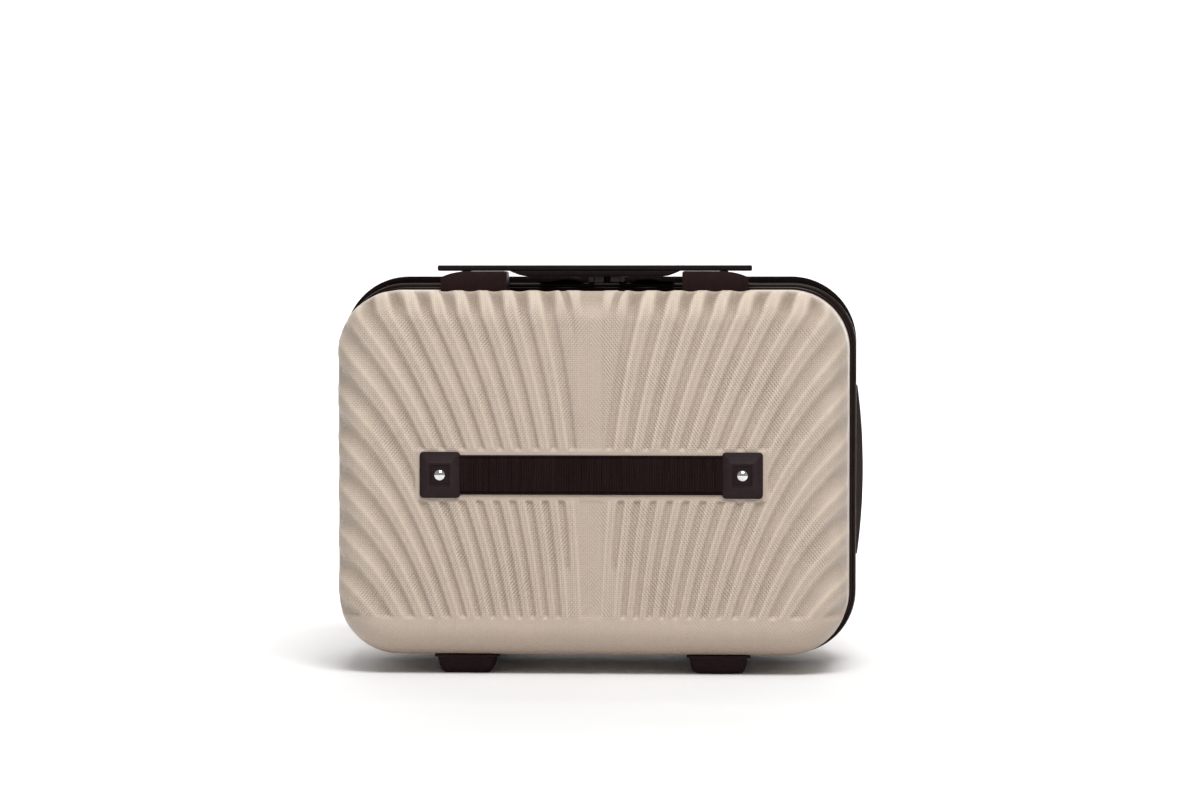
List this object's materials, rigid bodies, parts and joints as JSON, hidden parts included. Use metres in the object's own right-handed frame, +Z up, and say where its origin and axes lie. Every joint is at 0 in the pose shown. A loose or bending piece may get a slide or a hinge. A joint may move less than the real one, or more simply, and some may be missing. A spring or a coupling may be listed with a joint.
{
  "type": "hard-shell travel case",
  "caption": "Small hard-shell case: two ribbed pans with a coil zip and cloth hinge, flat lifting handle, elastic back band, side combination lock and four feet.",
  "frame": {"origin": "on the floor, under the middle of the overall box", "axes": "+X across the case to the right seen from the back, -Y is the back with the elastic band, +Y is the lid, +Z is up"},
  "size_m": [0.3337, 0.176, 0.2546],
  "materials": {
    "shell": "satin, fine woven emboss",
    "binding": "glossy rounded binding",
    "zip_tape": "woven tape",
    "zip_coil": "satin coil",
    "lining": "plain woven lining",
    "elastic": "ribbed elastic webbing",
    "net": "net",
    "trim": "fine grain",
    "grip": "soft satin grain",
    "lock_trim": "satin",
    "steel": "zinc plated",
    "chrome": "polished"
  },
  "bodies": {
    "case_back": {"back_shell": "shell", "back_piping": "binding", "zip_tape_back": "zip_tape", "zip_teeth_back": "zip_coil", "hinge_tape_back": "zip_tape", "back_lining": "lining", "bottle_loops": "elastic", "strap_webbing": "elastic", "strap_cap_left": "trim", "strap_cap_right": "trim", "strap_rivets": "chrome", "strap_washers": "steel", "foot_back_left": "trim", "foot_back_right": "trim", "foot_screws_back": "steel", "handle_bracket_left": "trim", "handle_bracket_right": "trim", "handle_backplates": "steel", "handle_screws": "steel"},
    "lid": {"front_shell": "shell", "front_piping": "binding", "zip_tape_front": "zip_tape", "zip_teeth_front": "zip_coil", "hinge_tape_front": "zip_tape", "front_lining": "lining", "mesh_pocket": "net", "foot_front_left": "trim", "foot_front_right": "trim", "foot_screws_front": "steel", "lock_housing": "lock_trim", "lock_clamp_frame": "steel", "lock_cover": "lock_trim", "lock_axle": "steel", "lock_screws": "steel"},
    "release": {"lock_button": "lock_trim", "lock_latch": "steel"},
    "dial_1": {"dial_1": "lock_trim"},
    "dial_2": {"dial_2": "lock_trim"},
    "dial_3": {"dial_3": "lock_trim"},
    "key": {"key_cylinder": "chrome"},
    "grip": {"handle_grip": "grip", "handle_core": "steel"},
    "end_left": {"handle_end_left": "grip", "handle_tongue_left": "trim"},
    "end_right": {"handle_end_right": "grip", "handle_tongue_right": "trim"},
    "slider_left": {"slider_left": "steel"},
    "slider_right": {"slider_right": "steel"},
    "tab_left": {"pull_tab_left": "trim"},
    "tab_right": {"pull_tab_right": "trim"}
  },
  "joints": [
    {"name": "lid_hinge", "type": "hinge", "parent": "case_back", "child": "lid", "pos_m": [-0.00215, 0, 0.0066], "axis": [-1, 0, 0], "range_deg": [0, 160]},
    {"name": "handle_lift", "type": "slide", "parent": "case_back", "child": "grip", "axis": [0, 0, 1], "range_m": [0, 0.014]},
    {"name": "handle_end_right_bend", "type": "hinge", "parent": "grip", "child": "end_right", "pos_m": [0.05205, -0.027, 0.25285], "axis": [0, 1, 0], "range_deg": [0, 23.49]},
    {"name": "handle_end_left_bend", "type": "hinge", "parent": "grip", "child": "end_left", "pos_m": [-0.05994, -0.027, 0.25285], "axis": [0, -1, 0], "range_deg": [0, 23.49]},
    {"name": "slider_right_run", "type": "slide", "parent": "case_back", "child": "slider_right", "axis": [1, 0, 0], "range_m": [0, 0.085]},
    {"name": "slider_left_run", "type": "slide", "parent": "case_back", "child": "slider_left", "axis": [-1, 0, 0], "range_m": [0, 0.085]},
    {"name": "tab_right_flip", "type": "hinge", "parent": "slider_right", "child": "tab_right", "pos_m": [0.01276, -0.0098, 0.2459], "axis": [0, -1, 0], "range_deg": [0, 100]},
    {"name": "tab_left_flip", "type": "hinge", "parent": "slider_left", "child": "tab_left", "pos_m": [-0.00705, -0.0098, 0.2459], "axis": [0, 1, 0], "range_deg": [0, 100]},
    {"name": "dial_1_turn", "type": "hinge", "parent": "lid", "child": "dial_1", "pos_m": [0.15975, 0.02606, 0.129], "axis": [0, 0, 1], "continuous": true},
    {"name": "dial_2_turn", "type": "hinge", "parent": "lid", "child": "dial_2", "pos_m": [0.15975, 0.02606, 0.12], "axis": [0, 0, 1], "continuous": true},
    {"name": "dial_3_turn", "type": "hinge", "parent": "lid", "child": "dial_3", "pos_m": [0.15975, 0.02606, 0.111], "axis": [0, 0, 1], "continuous": true},
    {"name": "release_slide", "type": "slide", "parent": "lid", "child": "release", "axis": [0, 0, 1], "range_m": [0, 0.005], "stiffness_N_per_m": 120, "springref_m": -0.002},
    {"name": "key_turn", "type": "hinge", "parent": "lid", "child": "key", "pos_m": [0.15856, 0.026, 0.0905], "axis": [0.9988, 0.0499, 0], "range_deg": [0, 90]}
  ],
  "couplings": [
    {"joint": "handle_end_right_bend", "follows": "handle_lift", "rad_per_m": 29.247},
    {"joint": "handle_end_left_bend", "follows": "handle_lift", "rad_per_m": 29.247}
  ]
}
